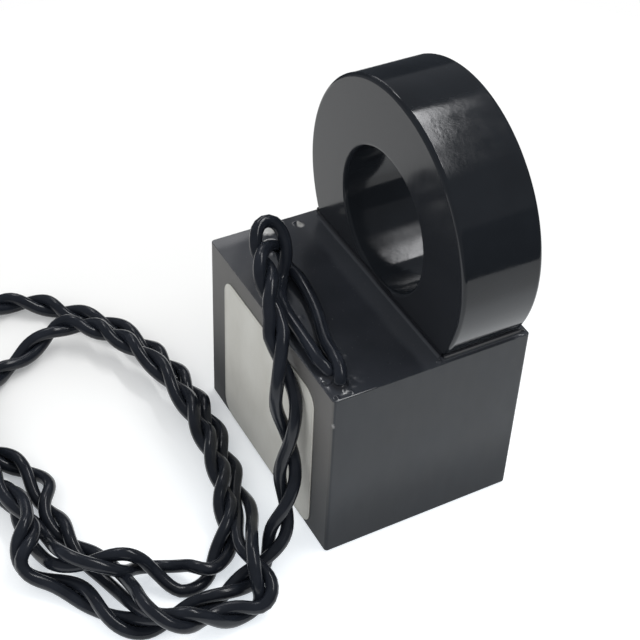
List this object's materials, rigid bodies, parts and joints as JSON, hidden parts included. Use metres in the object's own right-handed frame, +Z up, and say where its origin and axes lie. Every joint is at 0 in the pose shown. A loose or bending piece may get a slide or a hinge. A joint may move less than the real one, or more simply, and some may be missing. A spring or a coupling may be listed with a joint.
{
  "type": "current sensing switch",
  "caption": "Upright ring current transformer cast into a resin-filled box with a twisted-pair lead; the output switches when current flows in a conductor through the ring.",
  "frame": {"origin": "middle of the box's base, on the surface that it stands on", "axes": "+X along the ring's bore towards the ring's end of the box, +Z up, label on the -X face"},
  "size_m": [0.0757, 0.0753, 0.0589],
  "materials": {
    "box_plastic": "moulded black plastic, satin gloss",
    "resin": "cast black epoxy, glossy and self-levelled",
    "ring_plastic": "moulded black plastic, polished",
    "core_steel": "wound steel strip",
    "copper": "enamelled copper wire",
    "tape": "polyester tape",
    "board": "glass-fibre board with green resist",
    "solder": "solder and tinned wire",
    "dark_body": "moulded component body",
    "can_sleeve": "shrink sleeve on a metal can",
    "blue_coat": "dipped coating",
    "amber_coat": "dipped coating",
    "tan_coat": "lacquered resistor body",
    "wire_black": "black insulation, satin",
    "label_film": "pale grey film, bare"
  },
  "bodies": {
    "root": {"box_shell": "box_plastic", "potting_resin": "resin", "ring_case": "ring_plastic", "ring_cover": "ring_plastic", "toroid_core": "core_steel", "secondary_winding": "copper", "winding_tape": "tape", "winding_lead_start": "copper", "winding_lead_finish": "copper", "circuit_board": "board", "solder_joints": "solder", "bridge_rectifier": "dark_body", "reservoir_capacitor": "can_sleeve", "switching_transistor": "dark_body", "surge_absorber": "blue_coat", "timing_capacitor": "amber_coat", "clamp_diode": "dark_body", "gate_resistor": "tan_coat", "burden_resistor": "tan_coat", "wire_tail_first": "wire_black", "wire_tail_second": "wire_black", "lead_pair": "wire_black", "stripped_ends": "solder", "label": "label_film"}
  },
  "joints": []
}
